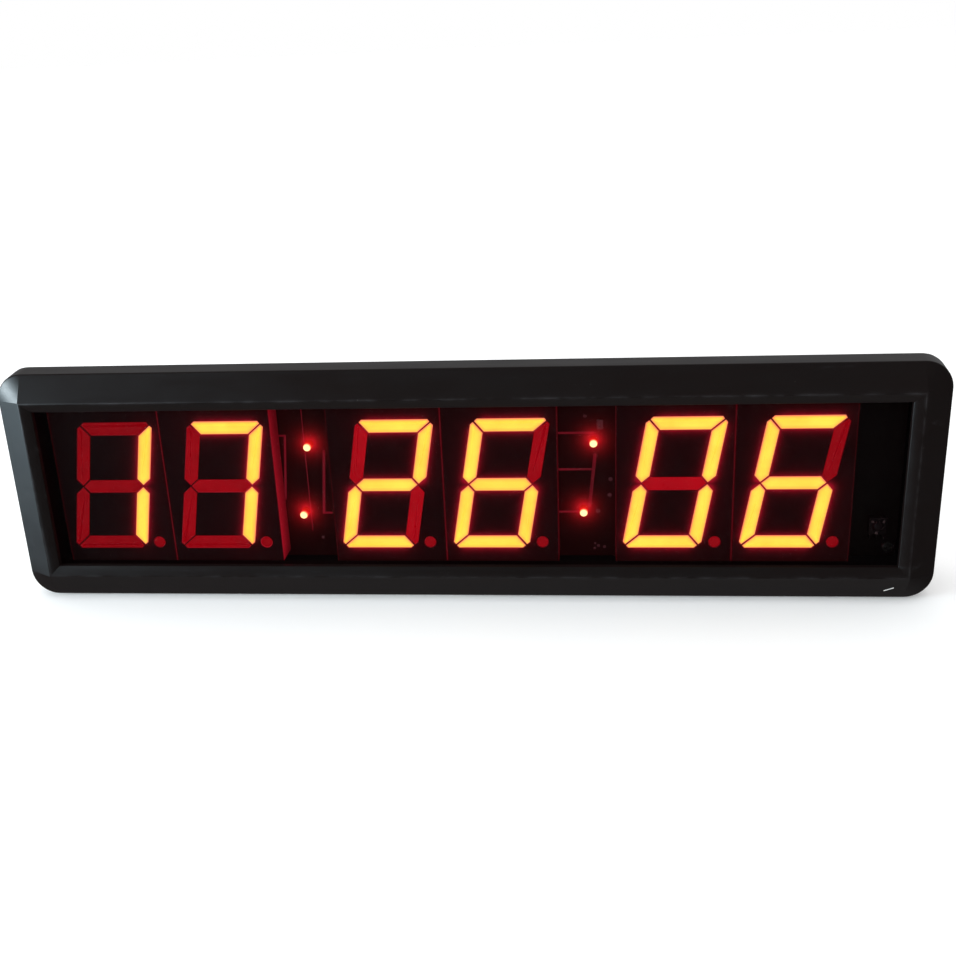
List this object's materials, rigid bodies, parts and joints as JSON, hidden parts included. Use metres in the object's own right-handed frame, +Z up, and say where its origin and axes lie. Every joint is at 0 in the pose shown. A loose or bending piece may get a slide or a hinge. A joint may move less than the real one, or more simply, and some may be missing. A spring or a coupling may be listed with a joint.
{
  "type": "gym round timer",
  "caption": "Wall-hung interval timer: slanted red LED digits and colon dots behind a smoked window in a bevelled black frame, with a shallow rear tray.",
  "frame": {"origin": "middle of the tray's rear face, where the case meets the wall", "axes": "+X to the right as the display is read, +Y out of the rear face into the wall, +Z up; the display faces -Y"},
  "size_m": [0.3906, 0.042, 0.1028],
  "materials": {
    "case_black": "semi-matt moulded",
    "case_back": "fine moulded texture",
    "smoked_window": "polished, dark red tint",
    "digit_shell": "matt",
    "red_resin": "diffusing resin",
    "led_red": "clear tinted resin",
    "board_green": "solder mask",
    "chip_black": "moulded epoxy",
    "bright_metal": "bright",
    "screw_zinc": "zinc plated",
    "black_nylon": "satin moulded",
    "white_plastic": "moulded",
    "sleeve_blue": "shrink sleeve",
    "lead_red": "insulated wire",
    "lead_black": "insulated wire"
  },
  "bodies": {
    "housing": {"board_screw_1": "screw_zinc", "board_screw_2": "screw_zinc", "board_screw_3": "screw_zinc", "board_screw_4": "screw_zinc", "buzzer": "chip_black", "case_screw_1": "screw_zinc", "case_screw_2": "screw_zinc", "case_screw_3": "screw_zinc", "case_screw_4": "screw_zinc", "case_screw_5": "screw_zinc", "case_screw_6": "screw_zinc", "cell_holder": "black_nylon", "coin_cell": "bright_metal", "colon_led_1": "led_red", "colon_led_2": "led_red", "colon_led_3": "led_red", "colon_led_4": "led_red", "crystal": "bright_metal", "digit_1_resin": "red_resin", "digit_1_shell": "digit_shell", "digit_2_resin": "red_resin", "digit_2_shell": "digit_shell", "digit_3_resin": "red_resin", "digit_3_shell": "digit_shell", "digit_4_resin": "red_resin", "digit_4_shell": "digit_shell", "digit_5_resin": "red_resin", "digit_5_shell": "digit_shell", "digit_6_resin": "red_resin", "digit_6_shell": "digit_shell", "front_frame": "case_black", "key_board": "board_green", "key_switch_1": "chip_black", "key_switch_2": "chip_black", "key_switch_3": "chip_black", "lead_inlet_to_board": "lead_black", "lead_inlet_to_switch": "lead_red", "lead_switch_to_board": "lead_red", "led_driver_1": "chip_black", "led_driver_2": "chip_black", "led_driver_3": "chip_black", "main_board": "board_green", "microcontroller": "chip_black", "power_header": "white_plastic", "power_inlet": "black_nylon", "power_inlet_nut": "bright_metal", "power_inlet_pin": "bright_metal", "power_switch_body": "black_nylon", "rear_tray": "case_back", "regulator": "chip_black", "remote_receiver": "chip_black", "supply_capacitor": "sleeve_blue", "supply_inductor": "chip_black", "window_lens": "smoked_window"},
    "rocker": {"power_rocker": "black_nylon"},
    "key_1": {"key_cap_1": "white_plastic"},
    "key_2": {"key_cap_2": "white_plastic"},
    "key_3": {"key_cap_3": "white_plastic"}
  },
  "joints": [
    {"name": "power_rocker_pivot", "type": "hinge", "parent": "housing", "child": "rocker", "pos_m": [0.148, -0.0115, -0.0411], "axis": [0, 1, 0], "range_deg": [-18, 0]},
    {"name": "key_1_press", "type": "slide", "parent": "housing", "child": "key_1", "axis": [0, 0, 1], "range_m": [0, 0.0008], "stiffness_N_per_m": 600, "springref_m": -0.0006},
    {"name": "key_2_press", "type": "slide", "parent": "housing", "child": "key_2", "axis": [0, 0, 1], "range_m": [0, 0.0008], "stiffness_N_per_m": 600, "springref_m": -0.0006},
    {"name": "key_3_press", "type": "slide", "parent": "housing", "child": "key_3", "axis": [0, 0, 1], "range_m": [0, 0.0008], "stiffness_N_per_m": 600, "springref_m": -0.0006}
  ]
}
